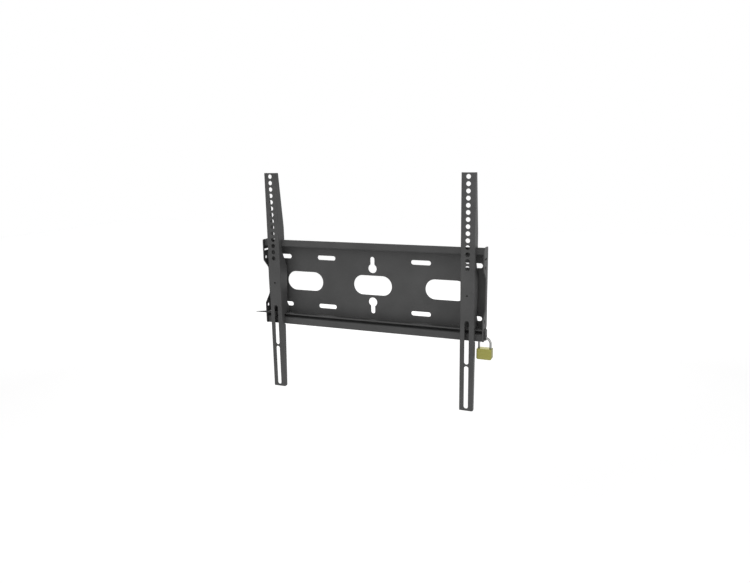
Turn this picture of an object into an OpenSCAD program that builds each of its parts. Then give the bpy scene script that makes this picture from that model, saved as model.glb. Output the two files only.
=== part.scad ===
// Flat wall mount for a large screen: one folded wall plate, two hooked arms,
// a sliding lock bar and a small brass padlock that holds the bar in.
// Millimetres. X runs along the plate, Z is up, the wall is the plane Y = 0
// and everything stands out from it towards -Y. The origin is the middle of the plate.

/* [Wall plate] */
// Width over the two side cheeks
plate_w = 458; // [430:1:600]
// Height over the two rail lips
plate_h = 174; // [168:1:200]
// Thickness of the plate sheet
plate_t = 2; // [1.5:0.1:3]
// Inside radius of every fold in the plate
plate_bend_r = 1.5; // [0.5:0.1:2.5]
// Distance from the wall to the front of the rail lips
rail_depth = 26.4; // [24:0.1:32]
// Height of a rail lip, from its free edge to the near face of its shelf
rail_h = 14; // [11:0.5:18]
// Distance from the wall to the front edge of the side cheeks
cheek_depth = 31; // [29:0.5:36]

/* [Plate openings] */
// Length of a large window
window_l = 81; // [60:1:110]
// Height of a large window, whose ends are half circles
window_h = 39; // [20:1:44]
// Distance between neighbouring window centres
window_pitch = 149.5; // [120:0.5:160]
// Length of a wall screw slot
screw_slot_l = 40; // [20:1:60]
// Width of a wall screw slot
screw_slot_w = 9; // [6:0.5:12]
// Distance from the plate centre to the inner slots
inner_slot_x = 100; // [90:1:120]
// Distance from a plate end to the outer slots
outer_slot_inset = 29.5; // [26:0.5:40]
// Distance from a plate edge to the nearer row of slots
slot_row_inset = 37; // [34:0.5:42]
// Diameter of the wide end of a keyhole
keyhole_d = 18; // [12:0.5:22]
// Width of the narrow end of a keyhole
keyhole_slot_w = 9; // [5:0.5:10]
// Distance from the middle of the wide end to the tip of a keyhole
keyhole_l = 21; // [18:0.5:22]
// Distance from a plate edge to the tip of the nearer keyhole
keyhole_inset = 32.5; // [28:0.5:34]

/* [Side cheeks] */
// Height of a cheek above or below its cut-out, at the front edge
cheek_horn_h = 42.5; // [42:0.5:52]
// Height of a cheek above or below the floor of its cut-out
cheek_root_h = 60; // [58:0.5:66]
// Distance from the wall to the floor of the cheek cut-out
cheek_floor_y = 14; // [11:0.5:15]
// Height of the slanted rear corner at the bottom of a cheek
cheek_slant_h = 30; // [22:0.5:34]
// Width of the slanted rear corner at the bottom of a cheek
cheek_slant_w = 14; // [12:0.5:14.5]
// Diameter of the round hole above and below the cut-out
cheek_hole_d = 7; // [4:0.5:10]
// Distance from the wall to the round holes
cheek_hole_y = 22.5; // [16:0.5:25]

/* [Arms] */
// Length of an arm
arm_l = 440; // [430:1:480]
// Width of the front face of an arm
arm_w = 26; // [22:0.2:27]
// Thickness of the arm sheet
arm_t = 1.6; // [1.4:0.1:1.8]
// Outside radius of the long folds of an arm
arm_fold_r = 2; // [1.9:0.1:4]
// Distance from a plate end to the middle of an arm
arm_inset = 29; // [28:0.5:60]
// Distance from the wall to the front face of an arm
arm_front = 39; // [37:0.5:40]
// Depth of an arm flange at its top end
arm_top_depth = 10.5; // [6:0.1:12]
// Depth of an arm flange at its bottom end
arm_end_depth = 9; // [6:0.1:12]
// Depth of an arm flange where its hook starts
arm_hook_depth = 23.2; // [20:0.1:24]
// Depth of an arm flange at its belly
arm_belly_depth = 29.5; // [26:0.5:31]
// Depth of an arm flange at its waist
arm_waist_depth = 24.2; // [20:0.2:26]
// Depth of an arm flange at its lower claw
arm_claw_depth = 31; // [30.5:0.1:32]
// Depth of an arm flange just under the plate
arm_shoulder_depth = 14.2; // [14:0.1:22]
// Clearance between the hook and the back of the upper lip
hook_clear = 0.4; // [0.3:0.1:0.8]
// Clearance between the flange and the front of the two lips
lip_clear = 2; // [2:0.1:3]
// Clearance between the shoulder and the free edge of the lower lip
shoulder_clear = 1; // [0.5:0.1:3]

/* [Arm holes] */
// Diameter of the screw holes
arm_hole_d = 8.4; // [6:0.2:10]
// Distance between neighbouring screw holes
arm_hole_pitch = 12.5; // [12:0.1:12.6]
// Number of screw holes
arm_hole_n = 14; // [6:1:14]
// Distance from the top end to the first hole
arm_hole_margin = 7; // [6:0.5:12]
// Length of each of the two long slots
arm_slot_l = 83; // [60:1:84]
// Width of the web between the two long slots
arm_slot_web = 3.3; // [3:0.1:8]
// Distance from the bottom end to the lower slot
arm_slot_margin = 4; // [3.5:0.5:8]
// Diameter of the small hole at mid height
arm_pilot_d = 3.6; // [2:0.2:5]

/* [Lock bar] */
// Width of the bar
bar_w = 12; // [11:0.5:14]
// Thickness of the bar
bar_t = 2.5; // [2:0.1:3.1]
// Distance from the wall to the back edge of the bar
bar_back = 13; // [12.5:0.1:13.5]
// Gap between the lower shelf and the underside of the bar
bar_gap = 5.5; // [4:0.5:7]
// Height of the slits that the bar slides through
bar_slit_h = 3.5; // [3.2:0.1:5]
// Length of the slits that the bar slides through
bar_slit_l = 16.8; // [16.8:0.2:17.4]
// Clearance behind the back edge of the bar
bar_clear = 1.4; // [0.5:0.1:1.8]
// Length of bar that sticks out on the left
bar_point_l = 29; // [20:1:40]
// Length of the bent end, from the underside of the bar
bar_tab_l = 18; // [16:0.5:20]
// Inside radius of the bend at the end of the bar
bar_bend_r = 0.5; // [0.4:0.1:2]

/* [Padlock] */
// Width of the padlock body
lock_w = 28; // [27.5:0.5:30]
// Thickness of the padlock body
lock_t = 13; // [12:0.5:15]
// Height of the padlock body
lock_h = 20.5; // [20:0.5:28]
// Diameter of the shackle wire
shackle_d = 4.2; // [3.4:0.1:4.4]
// Distance between the two shackle legs, centre to centre
shackle_span = 21.6; // [19:0.2:22]
// Length of straight leg that shows above the body
shackle_leg = 8.8; // [6:0.2:14]
// Diameter of the hole that the shackle hangs in
lock_hole_d = 8; // [7:0.2:8.4]
// Distance from the lower edge of the plate up to the hole
lock_hole_inset = 7.5; // [7.2:0.1:7.8]

/* [Padlock works] */
// Diameter of the key plug
plug_d = 8.4; // [8:0.1:8.6]
// Length of the key plug
plug_l = 12.6; // [12.4:0.1:12.8]
// Diameter of the lock pins
pin_d = 2.1; // [1.6:0.1:2.2]
// Distance between neighbouring lock pins
pin_pitch = 2.7; // [2.6:0.05:2.75]
// Length of a driver pin
driver_l = 2.7; // [2:0.1:3]
// Length of a pin chamber cap
cap_l = 2.2; // [1.5:0.1:2.6]
// Throw of the cam stud on the plug
stud_throw = 1.3; // [1.2:0.05:1.35]
// Diameter of the cam stud
stud_d = 2.4; // [2:0.1:2.5]
// Running clearance inside the padlock
lock_clear = 0.1; // [0.08:0.01:0.15]

/* [Hidden] */
$fn = 48;
coat_colour = "#4c4c4e";
brass_colour = "#a8a05a";
steel_colour = "#b0b0b0";
// How far a cutter runs past the face that it cuts
over = 1;
// Steps in each rounded corner of an outline
corner_steps = 6;

// Plate levels, measured up from the plate centre
plate_top = plate_h / 2;
shelf_in_z = plate_top - rail_h;
shelf_out_z = shelf_in_z + plate_t;
plate_fold_r = plate_bend_r + plate_t;
lip_back = rail_depth - plate_t;
cheek_in_x = plate_w / 2 - plate_t;
cheek_out_x = plate_w / 2;
// The shelves and lips end inside the sheet of the cheeks
rail_end_x = cheek_in_x + plate_t / 2;
cheek_corner_r = 3.5;
cheek_floor_r = 9;
cheek_rear_r = 8;
outer_slot_x = plate_w / 2 - outer_slot_inset;
slot_row_z = plate_top - slot_row_inset;
keyhole_tip_z = plate_top - keyhole_inset;
keyhole_z = keyhole_tip_z - keyhole_l;
lock_hole_z = -plate_top + lock_hole_inset;

// Bar levels and edges
bar_low = -shelf_in_z + bar_gap;
bar_high = bar_low + bar_t;
bar_front = bar_back + bar_w;
slit_high = bar_low + bar_slit_h;
bar_fold_r = bar_bend_r + bar_t;
tab_in_x = cheek_out_x + bar_bend_r + 0.1;
tab_out_x = tab_in_x + bar_t;
// The point starts clear of the left cheek and narrows over a short root
point_start = cheek_out_x + 1;
point_root = 9;
point_end = cheek_out_x + bar_point_l;

// Arm outline: depths are turned into distances from the wall
arm_top = arm_l / 2;
arm_x = plate_w / 2 - arm_inset;
hook_front = lip_back - hook_clear;
hook_low = shelf_out_z + 2;
// The flange runs down in front of the lips and the bar
arm_face_side = rail_depth + lip_clear;
claw_front = bar_back - bar_clear;
claw_drop = 2.5;
claw_low = bar_low - claw_drop;
hook_rise = 25;
hook_start_z = plate_top + hook_rise;
belly_drop = 44;
belly_z = shelf_in_z - belly_drop;
waist_rise = 24.5;
waist_z = bar_low + waist_rise;
claw_h = 17.5;
claw_top_z = claw_low + claw_h;

// The padlock hangs with its shackle through the cheek and the bent bar end
lock_x = (cheek_in_x + tab_out_x) / 2;
lock_y = bar_back + bar_w / 2;
bow_r = shackle_span / 2;
bow_in_r = bow_r - shackle_d / 2;
grip_half = (tab_out_x - cheek_in_x) / 2;
// The curved bow rests on the outer edges of the two holes
bow_lift = bow_in_r - sqrt(bow_in_r * bow_in_r - grip_half * grip_half) + lock_clear;
bow_top_z = lock_hole_z - lock_hole_d / 2 + bow_lift + shackle_d / 2;
bow_centre_z = bow_top_z - bow_r;
lock_top_z = bow_centre_z - shackle_leg;
lock_low_z = lock_top_z - lock_h;
toe_x = shackle_span / 2;
bow_z = lock_h + shackle_leg;
leg_bore_d = shackle_d + 2 * lock_clear + 0.1;

// Levels inside the padlock, measured up from the bottom of its body
plug_r = plug_d / 2;
plug_bore_r = plug_r + lock_clear;
groove_z = 1.9;
retainer_d = 1.6;
first_pin_z = 4.4;
pin_r = pin_d / 2;
chamber_r = pin_r + lock_clear;
// Flat pin ends stay inside the round plug, or clear of it
key_pin_tip = sqrt(plug_r * plug_r - pin_r * pin_r) - 0.02;
driver_in = plug_bore_r + 0.02;
driver_out = driver_in + driver_l;
cap_in = lock_w / 2 - cap_l;
key_pin_lengths = [2.6, 3.2, 2.9];
latch_low = plug_l + 2 * lock_clear;
latch_h = 3.4;
stud_h = latch_h - 0.8;
latch_half_w = 3.1;
latch_mid_y = 0.9;
latch_back_x = -3;
latch_block_x = 4.2;
latch_nose_w = 3;
latch_nose_x = toe_x - shackle_d / 2 + 1.1;
latch_travel = 2 * stud_throw * sin(45);
toe_notch_depth = 1.3;
toe_low = latch_low - 0.3;
heel_pin_d = 1.8;
heel_pin_x = -toe_x + 2.2;
heel_pin_z = lock_h - 2.6;
heel_neck_r = 1.2;
heel_travel = 8;
heel_low = heel_pin_z - heel_travel - 2.8;

// Rounded corners: each point is [x, y, radius]
function flat(p) = [p[0], p[1]];
function unit(v) = v / norm(v);
function corner(a, b, c, r) =
    let (u = unit(a - b), v = unit(c - b), half = acos(u * v) / 2,
         reach = r / tan(half), centre = b + unit(u + v) * (r / sin(half)),
         from = b + u * reach - centre, to = b + v * reach - centre,
         start = atan2(from[1], from[0]), raw = atan2(to[1], to[0]) - start,
         turn = raw > 180 ? raw - 360 : raw < -180 ? raw + 360 : raw)
    [for (i = [0:corner_steps]) centre + r * [cos(start + turn * i / corner_steps),
                                              sin(start + turn * i / corner_steps)]];
function rounded(pts) =
    [for (i = [0:len(pts) - 1])
        let (a = flat(pts[(i + len(pts) - 1) % len(pts)]), b = flat(pts[i]),
             c = flat(pts[(i + 1) % len(pts)]), r = pts[i][2])
        each (r == 0 ? [b] : corner(a, b, c, r))];

// A drawing with [distance from the wall, height], given a thickness along X
module along_x(from, to) {
    translate([from, 0, 0])
        rotate([90, 0, 90])
            linear_extrude(to - from)
                mirror([1, 0])
                    children();
}

// A drawing with [x, height], given a thickness along Y, both as wall distances
module along_y(near, far) {
    translate([0, -near, 0])
        rotate([90, 0, 0])
            linear_extrude(far - near)
                children();
}

// One quarter of a ring, for a fold; the quarter is picked by two signs
module fold(centre, r_in, r_out, sx, sy) {
    translate(centre)
        intersection() {
            difference() {
                circle(r_out);
                circle(r_in);
            }
            scale([sx, sy])
                square(r_out);
        }
}

// A flat slot with half round ends
module slot(length, width, flip = 0) {
    rotate(flip)
        union() {
            square([length - width, width], center = true);
            for (s = [-1, 1])
                translate([s * (length - width) / 2, 0])
                    circle(width / 2);
        }
}

// Upper half of the plate section: panel, shelf and upturned lip
module rail_section() {
    square([plate_t, shelf_out_z - plate_fold_r]);
    fold([plate_fold_r, shelf_out_z - plate_fold_r], plate_bend_r, plate_fold_r, -1, 1);
    translate([plate_fold_r, shelf_in_z])
        square([rail_depth - 2 * plate_fold_r, plate_t]);
    fold([rail_depth - plate_fold_r, shelf_in_z + plate_fold_r], plate_bend_r, plate_fold_r, 1, -1);
    translate([lip_back, shelf_in_z + plate_fold_r])
        square([plate_t, rail_h - plate_fold_r]);
}

// Side view of a cheek
module cheek_outline() {
    z = plate_top;
    cut = z - cheek_horn_h;
    floor_half = z - cheek_root_h;
    difference() {
        polygon(rounded([[cheek_slant_w, -z, cheek_corner_r], [cheek_depth, -z, cheek_corner_r],
            [cheek_depth, -cut, cheek_corner_r], [cheek_floor_y, -floor_half, cheek_floor_r],
            [cheek_floor_y, floor_half, cheek_floor_r], [cheek_depth, cut, cheek_corner_r],
            [cheek_depth, z, cheek_corner_r], [0, z, cheek_rear_r],
            [0, -z + cheek_slant_h, 2],
            [cheek_slant_w * 0.64, -z + cheek_slant_h * 0.6, cheek_floor_r]]));
        for (s = [-1, 1])
            translate([cheek_hole_y, s * slot_row_z])
                circle(cheek_hole_d / 2);
        for (s = [0, 1])
            mirror([0, s])
                translate([bar_back - bar_clear, bar_low])
                    square([bar_slit_l, bar_slit_h]);
        translate([lock_y, lock_hole_z])
            circle(lock_hole_d / 2);
    }
}

// Plan view of the two cheeks, folded forward from the panel
module cheek_plan() {
    for (s = [0, 1])
        mirror([s, 0]) {
            translate([cheek_in_x, -cheek_depth])
                square([plate_t, cheek_depth - plate_fold_r]);
            fold([cheek_out_x - plate_fold_r, -plate_fold_r], plate_bend_r, plate_fold_r, 1, 1);
        }
}

module plate_cuts() {
    for (i = [-1:1])
        translate([i * window_pitch, 0])
            slot(window_l, window_h);
    for (x = [-outer_slot_x, -inner_slot_x, inner_slot_x, outer_slot_x], z = [-1, 1])
        translate([x, z * slot_row_z])
            slot(screw_slot_l, screw_slot_w);
    for (s = [0, 1])
        mirror([0, s]) {
            translate([0, keyhole_z])
                circle(keyhole_d / 2);
            translate([0, (keyhole_z + keyhole_tip_z) / 2])
                slot(keyhole_tip_z - keyhole_z + keyhole_slot_w / 2, keyhole_slot_w, 90);
        }
}

module wall_plate() {
    color(coat_colour)
        union() {
            difference() {
                along_x(-rail_end_x, rail_end_x)
                    for (s = [0, 1])
                        mirror([0, s])
                            rail_section();
                along_y(-over, plate_t + over)
                    plate_cuts();
                // The ends of the panel give way to the folds of the cheeks
                for (s = [-1, 1])
                    translate([s * (cheek_out_x - plate_fold_r / 2), 0, 0])
                        cube([plate_fold_r, 2 * plate_fold_r, plate_h + over], center = true);
            }
            intersection() {
                translate([0, 0, -plate_top])
                    linear_extrude(plate_h)
                        cheek_plan();
                along_x(-cheek_out_x - over, cheek_out_x + over)
                    cheek_outline();
            }
        }
}

// Side view of an arm, the same for both of its flanges
module arm_outline() {
    f = arm_front;
    polygon(rounded([
        [f, arm_top, 0],
        [f - arm_top_depth, arm_top, 3],
        [f - arm_hook_depth, hook_start_z, 8],
        [f - arm_hook_depth, hook_low, 2],
        [hook_front, hook_low, 2],
        [hook_front, plate_top, 0],
        [arm_face_side, plate_top, 0],
        [arm_face_side, shelf_in_z - 6, 5],
        [f - arm_belly_depth, belly_z, 8],
        [f - arm_waist_depth, waist_z, 4],
        [f - arm_claw_depth, claw_top_z, 4],
        [f - arm_claw_depth, claw_low, 1.2],
        [claw_front, claw_low, 1.2],
        [claw_front, slit_high, 0],
        [arm_face_side, slit_high, 0],
        [arm_face_side, -plate_top - shoulder_clear, 0],
        [f - arm_shoulder_depth, -plate_top - shoulder_clear, 2],
        [f - arm_end_depth, -arm_top, 3],
        [f, -arm_top, 0]]));
}

// Plan view of an arm: a channel that opens towards the wall
module arm_plan() {
    half = arm_w / 2;
    depth = arm_claw_depth + over;
    translate([-half + arm_fold_r, -arm_front])
        square([arm_w - 2 * arm_fold_r, arm_t]);
    for (s = [0, 1])
        mirror([s, 0]) {
            translate([half - arm_t, -arm_front + arm_fold_r])
                square([arm_t, depth - arm_fold_r]);
            fold([half - arm_fold_r, -arm_front + arm_fold_r], arm_fold_r - arm_t, arm_fold_r, 1, -1);
        }
}

module arm_cuts() {
    for (i = [0:arm_hole_n - 1])
        translate([0, arm_top - arm_hole_margin - i * arm_hole_pitch])
            circle(arm_hole_d / 2);
    circle(arm_pilot_d / 2);
    for (i = [0, 1])
        translate([0, -arm_top + arm_slot_margin + arm_slot_l / 2 + i * (arm_slot_l + arm_slot_web)])
            slot(arm_slot_l, arm_hole_d, 90);
}

module arm(side) {
    color(coat_colour)
        translate([side * arm_x, 0, 0])
            difference() {
                intersection() {
                    translate([0, 0, -arm_top])
                        linear_extrude(arm_l)
                            arm_plan();
                    along_x(-arm_w, arm_w)
                        arm_outline();
                }
                along_y(arm_front - arm_t - over, arm_front + over)
                    arm_cuts();
            }
}

module arm_left() {
    arm(-1);
}

module arm_right() {
    arm(1);
}

// Plan view of the bar: straight, with a slim point at its left end
module bar_plan() {
    slim = 4.5;
    polygon([[-point_start, -bar_back], [-point_start - point_root, -bar_front + slim],
             [-point_end, -bar_front + 1], [-point_end, -bar_front + 0.2],
             [-point_end + 2, -bar_front], [tab_out_x, -bar_front], [tab_out_x, -bar_back]]);
}

// Front view of the bar: the right end turns down, the point thins out
module bar_section() {
    difference() {
        translate([-point_end - over, bar_low])
            square([point_end + over + tab_out_x - bar_fold_r, bar_t]);
        polygon([[-point_end - over, bar_low + 0.9], [-point_end, bar_low + 0.9],
                 [-point_start - point_root, bar_high], [-point_start - point_root, bar_high + over],
                 [-point_end - over, bar_high + over]]);
    }
    fold([tab_out_x - bar_fold_r, bar_high - bar_fold_r], bar_bend_r, bar_fold_r, 1, 1);
    translate([tab_in_x, bar_low - bar_tab_l])
        square([bar_t, bar_tab_l + bar_t - bar_fold_r]);
}

// Side view of the bar, which rounds the corners of its bent end
module bar_side() {
    polygon(rounded([[bar_front, bar_low - bar_tab_l, 4], [bar_front, bar_high, 0],
                     [bar_back, bar_high, 0], [bar_back, bar_low - bar_tab_l, 4]]));
}

module lock_bar() {
    color(coat_colour)
        difference() {
            intersection() {
                along_y(0, bar_front + over)
                    bar_section();
                translate([0, 0, bar_low - bar_tab_l - over])
                    linear_extrude(bar_tab_l + bar_t + 2 * over)
                        bar_plan();
                along_x(-point_end - over, tab_out_x + over)
                    bar_side();
            }
            along_x(cheek_out_x, tab_out_x + over)
                translate([lock_y, lock_hole_z])
                    circle(lock_hole_d / 2);
        }
}

// Puts a padlock piece, drawn from the middle of the body's underside, in its place
module in_lock() {
    translate([lock_x, -lock_y, lock_low_z])
        children();
}

// A round pin along X at one of the pin heights
module pin_along_x(from, to, r, z) {
    translate([from, 0, z])
        rotate([0, 90, 0])
            cylinder(h = to - from, r = r);
}

function pin_z(i) = first_pin_z + i * pin_pitch;

// Room that the latch slides in
module latch_room() {
    c = lock_clear + 0.05;
    translate([latch_back_x - latch_travel - c, latch_mid_y - latch_half_w - c, latch_low - c])
        cube([latch_block_x - latch_back_x + latch_travel + 2 * c, 2 * (latch_half_w + c),
              latch_h + 2 * c]);
    translate([0, -latch_nose_w / 2 - c, latch_low - c])
        cube([toe_x, latch_nose_w + 2 * c, latch_h + 2 * c]);
}

module padlock_body() {
    half = lock_w / 2;
    color(brass_colour)
        in_lock()
            difference() {
                translate([0, lock_t / 2, 0])
                    rotate([90, 0, 0])
                        linear_extrude(lock_t)
                            polygon(rounded([[-half, 0, 3], [half, 0, 3],
                                             [half, lock_h, 1.5], [-half, lock_h, 1.5]]));
                translate([toe_x, 0, toe_low - 0.2])
                    cylinder(h = lock_h, d = leg_bore_d);
                translate([-toe_x, 0, heel_low - 0.2])
                    cylinder(h = lock_h, d = leg_bore_d);
                translate([0, 0, -over])
                    cylinder(h = plug_l + lock_clear + over, r = plug_bore_r);
                latch_room();
                translate([heel_pin_x, lock_t, heel_pin_z])
                    rotate([90, 0, 0])
                        cylinder(h = 2 * lock_t, d = heel_pin_d);
                pin_along_x(-half - over, 0, retainer_d / 2, groove_z);
                for (i = [0:2])
                    pin_along_x(0, half + over, chamber_r, pin_z(i));
            }
}

module shackle() {
    color(steel_colour)
        in_lock()
            difference() {
                union() {
                    translate([0, 0, bow_z])
                        rotate([90, 0, 0])
                            rotate_extrude(angle = 180)
                                translate([bow_r, 0])
                                    circle(shackle_d / 2);
                    translate([toe_x, 0, toe_low])
                        cylinder(h = bow_z - toe_low, d = shackle_d);
                    translate([-toe_x, 0, heel_low])
                        cylinder(h = bow_z - heel_low, d = shackle_d);
                }
                // Notch for the latch
                translate([toe_x - shackle_d, -shackle_d, latch_low - 0.15])
                    cube([shackle_d / 2 + toe_notch_depth, 2 * shackle_d, latch_h + 0.3]);
                // Long neck that lets the heel slide on its pin
                translate([-toe_x, 0, heel_pin_z - heel_pin_d / 2 - heel_travel - 0.2])
                    difference() {
                        cylinder(h = heel_travel + heel_pin_d + 0.4, d = shackle_d + over);
                        translate([0, 0, -over])
                            cylinder(h = heel_travel + heel_pin_d + 3 * over, r = heel_neck_r);
                    }
            }
}

module heel_pin() {
    color(brass_colour)
        in_lock()
            translate([heel_pin_x, lock_t / 2, heel_pin_z])
                rotate([90, 0, 0])
                    cylinder(h = lock_t, d = heel_pin_d);
}

module key_plug() {
    color(brass_colour)
        in_lock()
            difference() {
                union() {
                    cylinder(h = plug_l, r = plug_r);
                    rotate(45)
                        translate([stud_throw, 0, plug_l - over])
                            cylinder(h = latch_low - plug_l + stud_h + over, d = stud_d);
                }
                // Groove for the retaining pin
                translate([0, 0, groove_z - retainer_d / 2 - lock_clear])
                    difference() {
                        cylinder(h = retainer_d + 2 * lock_clear, r = plug_r + over);
                        translate([0, 0, -over])
                            cylinder(h = retainer_d + 2 * over + 1, r = plug_r - 0.8);
                    }
                // Keyway
                translate([-plug_r + over, -0.7, -over])
                    cube([plug_r + over, 1.4, plug_l - 0.8 + over]);
                for (i = [0:2])
                    pin_along_x(key_pin_tip - key_pin_lengths[i] - over, plug_d, chamber_r, pin_z(i));
            }
}

module plug_pin() {
    color(brass_colour)
        in_lock()
            pin_along_x(-lock_w / 2, -plug_r + 0.7, retainer_d / 2, groove_z);
}

module latch_bolt() {
    slot_half = stud_d / 2 + lock_clear;
    reach = stud_throw * sin(45);
    color(steel_colour)
        in_lock()
            difference() {
                union() {
                    translate([latch_back_x, latch_mid_y - latch_half_w, latch_low])
                        cube([latch_block_x - latch_back_x, 2 * latch_half_w, latch_h]);
                    translate([0, -latch_nose_w / 2, latch_low])
                        cube([latch_nose_x, latch_nose_w, latch_h]);
                }
                // Cross slot for the cam stud, which draws the bolt back as the plug turns
                translate([reach - slot_half, reach - slot_half, latch_low - over])
                    cube([2 * slot_half, stud_throw - reach + 2 * slot_half, stud_h + over + 0.2]);
            }
}

module key_pin(i) {
    color(brass_colour)
        in_lock()
            pin_along_x(key_pin_tip - key_pin_lengths[i], key_pin_tip, pin_r, pin_z(i));
}

module driver_pin(i) {
    color(brass_colour)
        in_lock()
            pin_along_x(driver_in, driver_out, pin_r, pin_z(i));
}

module chamber_cap(i) {
    color(brass_colour)
        in_lock()
            pin_along_x(cap_in, lock_w / 2, chamber_r, pin_z(i));
}

// A coil spring along X: rings of wire swept round a helix by one polyhedron
module pin_spring(i) {
    wire_r = 0.16;
    coil_r = pin_r - wire_r - 0.05;
    turns = 6;
    per_turn = 12;
    sides = 6;
    gap = 0.03;
    from = driver_out + wire_r + gap;
    length = cap_in - driver_out - 2 * (wire_r + gap);
    rings = turns * per_turn;
    points = [for (k = [0:rings], j = [0:sides - 1])
        let (turn = 360 * k / per_turn, side = 360 * j / sides, r = coil_r + wire_r * cos(side))
        [from + length * k / rings + wire_r * sin(side), r * cos(turn), r * sin(turn)]];
    walls = [for (k = [0:rings - 1], j = [0:sides - 1])
        let (a = k * sides, n = (j + 1) % sides)
        [a + j, a + n, a + sides + n, a + sides + j]];
    near = [for (j = [0:sides - 1]) sides - 1 - j];
    far = [for (j = [0:sides - 1]) rings * sides + j];
    color(steel_colour)
        in_lock()
            translate([0, 0, pin_z(i)])
                polyhedron(points, concat([near], walls, [far]));
}

wall_plate();
arm_left();
arm_right();
lock_bar();
padlock_body();
shackle();
heel_pin();
key_plug();
plug_pin();
latch_bolt();
key_pin(0);  // key_pin_1
key_pin(1);  // key_pin_2
key_pin(2);  // key_pin_3
driver_pin(0);  // driver_pin_1
driver_pin(1);  // driver_pin_2
driver_pin(2);  // driver_pin_3
pin_spring(0);  // pin_spring_1
pin_spring(1);  // pin_spring_2
pin_spring(2);  // pin_spring_3
chamber_cap(0);  // chamber_cap_1
chamber_cap(1);  // chamber_cap_2
chamber_cap(2);  // chamber_cap_3
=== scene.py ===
import bpy
import math
from mathutils import Matrix, Vector

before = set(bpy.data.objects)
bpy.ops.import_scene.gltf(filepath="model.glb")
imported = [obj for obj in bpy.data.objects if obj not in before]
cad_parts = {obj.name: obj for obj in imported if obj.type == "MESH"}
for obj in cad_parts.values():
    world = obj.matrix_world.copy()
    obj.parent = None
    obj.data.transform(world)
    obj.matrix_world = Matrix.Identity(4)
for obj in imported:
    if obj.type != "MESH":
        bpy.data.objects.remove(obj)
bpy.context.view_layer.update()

# Wall plate
# One sheet of 2 mm mild steel, laser cut and folded: a panel, two J-shaped rails and
# two side cheeks. It is powder coated dark grey, and screwed to the wall through its slots.
COAT_DARK = "#424242"
COAT_LIGHT = "#4e4e4e"
COAT_TONE_SPAN = (0.35, 0.65)  # where in the noise the dark ends and the light begins
COAT_IOR = 1.3  # polyester has 1.5, and this coat is duller
COAT_ROUGHNESS = (0.48, 0.62)
COAT_CLOUD_MM = 60
COAT_GRAIN_MM = 0.9  # a fine-texture coat has a grain near 0.3 mm; coarser here so that it shows
COAT_GRAIN_SHARE = 0.45
COAT_GRAIN_DEPTH_MM = 0.1
COAT_GRAIN_RELIEF = 0.25
COAT_EDGE_MM = 0.5  # the paint draws round over a cut edge
MM_PER_M = 1000


def srgb(code):
    """A hex colour as linear red, green, blue and full alpha."""
    parts = [int(code[i:i + 2], 16) / 255 for i in (1, 3, 5)]
    return [c / 12.92 if c <= 0.04045 else ((c + 0.055) / 1.055) ** 2.4 for c in parts] + [1.0]


def add(tree, kind, settings=None, links=None):
    """Adds a node. A setting is a property or a socket of it, a link brings a socket its source."""
    node = tree.nodes.new(kind)
    for name, value in (settings or {}).items():
        if isinstance(name, str) and hasattr(node, name):
            setattr(node, name, value)
        else:
            node.inputs[name].default_value = value
    for name, source in (links or {}).items():
        tree.links.new(source, node.inputs[name])
    return node


def new_material(name):
    """A material with its node tree and its surface shader."""
    material = bpy.data.materials.new(name)
    material.use_nodes = True
    tree = material.node_tree
    return material, tree, tree.nodes["Principled BSDF"]


def give(material, *nodes):
    """Puts a material on CAD nodes."""
    for name in nodes:
        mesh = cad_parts[name].data
        mesh.materials.clear()
        mesh.materials.append(material)


def powder_coat():
    """Polyester powder coat, baked: a dull skin with a fine even grain and soft edges."""
    material, tree, surface = new_material("powder_coated_steel")
    place = add(tree, "ShaderNodeTexCoord").outputs["Object"]
    cloud = add(tree, "ShaderNodeTexNoise",
                {"Scale": MM_PER_M / COAT_CLOUD_MM, "Detail": 2.0}, {"Vector": place})
    grain = add(tree, "ShaderNodeTexNoise",
                {"Scale": MM_PER_M / COAT_GRAIN_MM, "Detail": 3.0, "Roughness": 0.6},
                {"Vector": place})
    both = add(tree, "ShaderNodeMix", {"data_type": "FLOAT", "Factor": COAT_GRAIN_SHARE},
               {2: cloud.outputs["Fac"], 3: grain.outputs["Fac"]})
    shade = add(tree, "ShaderNodeValToRGB", {}, {"Fac": both.outputs[0]})
    dark_stop, light_stop = shade.color_ramp.elements
    dark_stop.position, light_stop.position = COAT_TONE_SPAN
    dark_stop.color, light_stop.color = srgb(COAT_DARK), srgb(COAT_LIGHT)
    dull = add(tree, "ShaderNodeMapRange",
               {"To Min": COAT_ROUGHNESS[0], "To Max": COAT_ROUGHNESS[1]},
               {"Value": grain.outputs["Fac"]})
    edge = add(tree, "ShaderNodeBevel", {"samples": 6, "Radius": COAT_EDGE_MM / MM_PER_M})
    bump = add(tree, "ShaderNodeBump",
               {"Strength": COAT_GRAIN_RELIEF, "Distance": COAT_GRAIN_DEPTH_MM / MM_PER_M},
               {"Height": grain.outputs["Fac"], "Normal": edge.outputs["Normal"]})
    tree.links.new(shade.outputs["Color"], surface.inputs["Base Color"])
    tree.links.new(dull.outputs["Result"], surface.inputs["Roughness"])
    tree.links.new(bump.outputs["Normal"], surface.inputs["Normal"])
    surface.inputs["IOR"].default_value = COAT_IOR
    return material


coat = powder_coat()
give(coat, "wall_plate")

# Arms
# Two channels folded from 1.6 mm mild steel, which the screen is screwed to. They hang on
# the upper rail by their hooks, and are coated like the plate.
give(coat, "arm_left", "arm_right")

# Lock bar
# A flat steel bar with a cut point and a bent end, coated like the plate. It is pushed
# through slits in both cheeks, and keeps the arms from being lifted off.
give(coat, "lock_bar")

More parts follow.
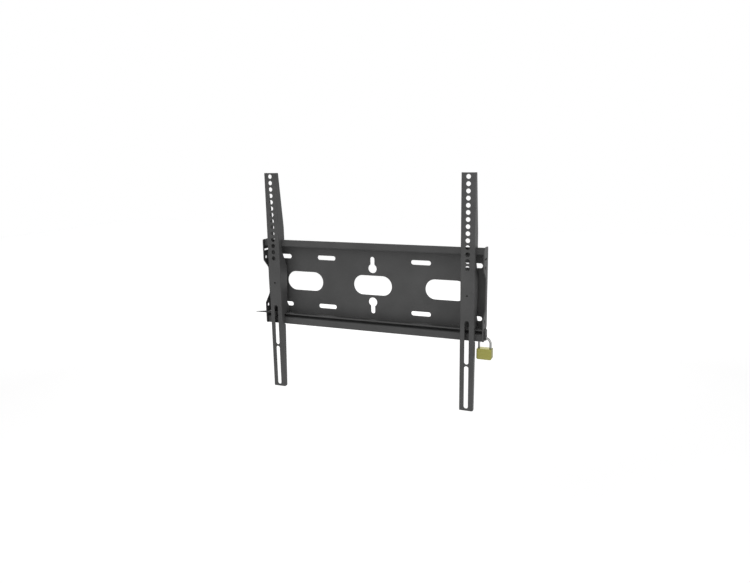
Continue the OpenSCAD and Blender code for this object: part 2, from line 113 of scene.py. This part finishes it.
# Padlock body
# A block sawn off an extruded brass bar, drilled for its works and ground on a belt,
# which leaves a soft shine with fine lines along it.
BRASS_DARK = "#7c793d"
BRASS_LIGHT = "#8e8c54"
BRASS_ROUGHNESS = 0.42
BRUSH_LINE_MM = 0.35  # belt grinding lines, drawn coarser than the real 0.1 mm so that they show
BRUSH_LENGTH_MM = 14
BRUSH_RELIEF = 0.3
LINE_DEPTH_MM = 0.05
LINE_TONE_SPAN = (0.3, 0.7)
LINE_GLOSS_SPREAD = (-0.06, 0.08)


def metal(name, dark, light, line_mm, length_mm, roughness, relief):
    """Bare metal with fine lines along X: drawn-out noise in its colour, gloss and relief."""
    material, tree, surface = new_material(name)
    place = add(tree, "ShaderNodeTexCoord").outputs["Object"]
    along, across = MM_PER_M / length_mm, MM_PER_M / line_mm
    lines = add(tree, "ShaderNodeMapping", {"Scale": (along, across, across)}, {"Vector": place})
    brush = add(tree, "ShaderNodeTexNoise",
                {"Scale": 1.0, "Detail": 3.0}, {"Vector": lines.outputs["Vector"]})
    shade = add(tree, "ShaderNodeValToRGB", {}, {"Fac": brush.outputs["Fac"]})
    dark_stop, light_stop = shade.color_ramp.elements
    dark_stop.position, light_stop.position = LINE_TONE_SPAN
    dark_stop.color, light_stop.color = srgb(dark), srgb(light)
    smooth, rough = (roughness + step for step in LINE_GLOSS_SPREAD)
    gloss = add(tree, "ShaderNodeMapRange", {"To Min": smooth, "To Max": rough},
                {"Value": brush.outputs["Fac"]})
    bump = add(tree, "ShaderNodeBump",
               {"Strength": relief, "Distance": LINE_DEPTH_MM / MM_PER_M},
               {"Height": brush.outputs["Fac"]})
    tree.links.new(shade.outputs["Color"], surface.inputs["Base Color"])
    tree.links.new(gloss.outputs["Result"], surface.inputs["Roughness"])
    tree.links.new(bump.outputs["Normal"], surface.inputs["Normal"])
    surface.inputs["Metallic"].default_value = 1.0
    return material


give(metal("brushed_brass", BRASS_DARK, BRASS_LIGHT,
           BRUSH_LINE_MM, BRUSH_LENGTH_MM, BRASS_ROUGHNESS, BRUSH_RELIEF), "padlock_body")

# Key plug, pins and caps
# They are turned from brass rod, a little brighter than the block, with fine tool marks.
# The plug turns in its bore, and the caps are pressed in and ground flush.
TURNED_DARK = "#857f3a"
TURNED_LIGHT = "#9c9650"
TURNED_ROUGHNESS = 0.35
TOOL_MARK_MM = 0.25  # coarser than the real 0.05 mm, so that the marks show
TOOL_MARK_LENGTH_MM = 2
TOOL_MARK_RELIEF = 0.2
turned_brass = metal("turned_brass", TURNED_DARK, TURNED_LIGHT,
                     TOOL_MARK_MM, TOOL_MARK_LENGTH_MM, TURNED_ROUGHNESS, TOOL_MARK_RELIEF)
give(turned_brass, "heel_pin", "key_plug", "plug_pin")
for i in (1, 2, 3):
    give(turned_brass, f"key_pin_{i}", f"driver_pin_{i}", f"chamber_cap_{i}")

# Shackle
# Round mild steel, notched and bent, then nickel plated, which gives a bright, nearly
# even shine. Its long leg is held in the block by the heel pin.
NICKEL_DARK = "#7d7d7c"
NICKEL_LIGHT = "#929290"
NICKEL_ROUGHNESS = 0.24
NICKEL_LINE_MM = 0.5  # polishing lines, coarser than the real 0.1 mm so that they show
NICKEL_LENGTH_MM = 6
NICKEL_RELIEF = 0.1
give(metal("nickel_plated_steel", NICKEL_DARK, NICKEL_LIGHT,
           NICKEL_LINE_MM, NICKEL_LENGTH_MM, NICKEL_ROUGHNESS, NICKEL_RELIEF), "shackle")

# Latch
# A small bolt stamped from steel strip and left bare, a little rougher than the shackle.
# It slides in the block and catches the shackle's notch.
LATCH_DARK = "#8d8f92"
LATCH_LIGHT = "#a5a7aa"
LATCH_ROUGHNESS = 0.4
LATCH_LINE_MM = 0.4  # rolling lines of the strip, coarser than the real 0.1 mm
LATCH_LENGTH_MM = 4
LATCH_RELIEF = 0.2
give(metal("stamped_steel", LATCH_DARK, LATCH_LIGHT,
           LATCH_LINE_MM, LATCH_LENGTH_MM, LATCH_ROUGHNESS, LATCH_RELIEF), "latch_bolt")

# Pin springs
# Wound from fine drawn steel wire, which is smooth and a little shiny. One presses on
# each driver pin from its cap.
WIRE_DARK = "#9a9ca0"
WIRE_LIGHT = "#b4b6ba"
WIRE_ROUGHNESS = 0.3
WIRE_LINE_MM = 0.1  # drawing lines, coarser than the real 0.02 mm
WIRE_LENGTH_MM = 1
WIRE_RELIEF = 0.1
give(metal("drawn_spring_wire", WIRE_DARK, WIRE_LIGHT,
           WIRE_LINE_MM, WIRE_LENGTH_MM, WIRE_ROUGHNESS, WIRE_RELIEF),
     "pin_spring_1", "pin_spring_2", "pin_spring_3")

# Floor
# A pale floor in matt paint, well below the mount. A glow that only camera, mirror and
# glass rays meet brings it up to plain white, and leaves it its shadow.
FLOOR_Z = -0.6
FLOOR_HALF = 6.0
FLOOR_PAINT = "#f4f4f4"
FLOOR_ROUGHNESS = 0.9
FLOOR_GLOW_NEAR = 0.37
FLOOR_GLOW_FAR = 0.575  # stronger, because the lamps don't reach as far
FLOOR_NEAR = 1.9  # metres from the mount's origin, between which the glow grows
FLOOR_FAR = 3.3
WHITE = (1, 1, 1, 1)


def sees_white(tree):
    """Is 1 for camera, mirror and glass rays, and 0 for the rays that light the object."""
    ray = add(tree, "ShaderNodeLightPath").outputs
    mirror = add(tree, "ShaderNodeMath", {"operation": "MAXIMUM"},
                 {0: ray["Is Glossy Ray"], 1: ray["Is Transmission Ray"]})
    shown = add(tree, "ShaderNodeMath", {"operation": "MAXIMUM"},
                {0: ray["Is Camera Ray"], 1: mirror.outputs["Value"]})
    return shown.outputs["Value"]


floor_mesh = bpy.data.meshes.new("floor")
floor_corners = [(x * FLOOR_HALF, y * FLOOR_HALF, FLOOR_Z)
                 for x, y in ((-1, -1), (1, -1), (1, 1), (-1, 1))]
floor_mesh.from_pydata(floor_corners, [], [(0, 1, 2, 3)])
floor = bpy.data.objects.new("floor", floor_mesh)
bpy.context.scene.collection.objects.link(floor)
floor_paint, floor_tree, floor_surface = new_material("pale_floor")
floor_surface.inputs["Base Color"].default_value = srgb(FLOOR_PAINT)
floor_surface.inputs["Roughness"].default_value = FLOOR_ROUGHNESS
floor_place = add(floor_tree, "ShaderNodeTexCoord").outputs["Object"]
floor_reach = add(floor_tree, "ShaderNodeVectorMath", {"operation": "LENGTH"}, {0: floor_place})
floor_lift = add(floor_tree, "ShaderNodeMapRange",
                 {"From Min": FLOOR_NEAR, "From Max": FLOOR_FAR,
                  "To Min": FLOOR_GLOW_NEAR, "To Max": FLOOR_GLOW_FAR},
                 {"Value": floor_reach.outputs["Value"]})
floor_glow = add(floor_tree, "ShaderNodeMath", {"operation": "MULTIPLY"},
                 {0: floor_lift.outputs["Result"], 1: sees_white(floor_tree)})
floor_white = add(floor_tree, "ShaderNodeEmission", {"Color": WHITE},
                  {"Strength": floor_glow.outputs["Value"]})
floor_sum = add(floor_tree, "ShaderNodeAddShader", {},
                {0: floor_surface.outputs["BSDF"], 1: floor_white.outputs["Emission"]})
floor_end = floor_tree.nodes["Material Output"]
floor_tree.links.new(floor_sum.outputs["Shader"], floor_end.inputs["Surface"])
floor_mesh.materials.append(floor_paint)

# Surround
# A plain white studio all round. Camera, mirror and glass rays see it as full white, and
# it lights the object with less than that, as a soft fill.
SURROUND_FILL = 0.42

world = bpy.data.worlds.new("surround")
bpy.context.scene.world = world
world.use_nodes = True
sky = world.node_tree
sky_fill = sky.nodes["Background"]
sky_fill.inputs["Color"].default_value = WHITE
sky_fill.inputs["Strength"].default_value = SURROUND_FILL
sky_white = add(sky, "ShaderNodeBackground", {"Color": WHITE, "Strength": 1.0})
sky_mix = add(sky, "ShaderNodeMixShader", {},
              {0: sees_white(sky), 1: sky_fill.outputs["Background"],
               2: sky_white.outputs["Background"]})
sky.links.new(sky_mix.outputs["Shader"], sky.nodes["World Output"].inputs["Surface"])

# Lamps
# Four large square soft boxes that face the mount: three in front, and one behind for its
# back. Each has its place in metres, its side in metres and its power in watts.
LAMPS = {
    "key": ((-1.6, -2.4, 2.2), 2.0, 22),
    "side": ((2.8, -0.9, 0.6), 1.8, 22),
    "front": ((0.2, -2.6, 0.3), 1.6, 15),
    "back": ((-0.9, 2.4, 1.0), 2.0, 18),
}
for name, (spot, side, power) in LAMPS.items():
    lamp = bpy.data.lights.new(name, "AREA")
    lamp.size = side
    lamp.energy = power
    lamp_object = bpy.data.objects.new(name, lamp)
    lamp_object.location = spot
    lamp_object.rotation_euler = Vector(spot).to_track_quat("Z", "Y").to_euler()
    bpy.context.scene.collection.objects.link(lamp_object)

# Camera
# It looks at the mount from the front right, a little above it, as the photograph does.
# Its place is in metres, and its angles are in radians.
CAMERA_PLACE = (0.49325, -1.17552, 0.25809)
CAMERA_YAW = 0.3944
CAMERA_PITCH = 0.2093
CAMERA_ROLL = 0.0168
CAMERA_LENS_MM = 31.64
CAMERA_SENSOR_MM = 36

camera_data = bpy.data.cameras.new("camera")
camera_data.sensor_width = CAMERA_SENSOR_MM
camera_data.sensor_fit = "HORIZONTAL"
camera_data.lens = CAMERA_LENS_MM
camera = bpy.data.objects.new("camera", camera_data)
camera.matrix_world = (Matrix.Translation(CAMERA_PLACE)
                       @ Matrix.Rotation(CAMERA_YAW, 4, "Z")
                       @ Matrix.Rotation(math.pi / 2 - CAMERA_PITCH, 4, "X")
                       @ Matrix.Rotation(-CAMERA_ROLL, 4, "Z"))
bpy.context.scene.collection.objects.link(camera)
bpy.context.scene.camera = camera

bpy.context.scene.view_settings.view_transform = "Standard"
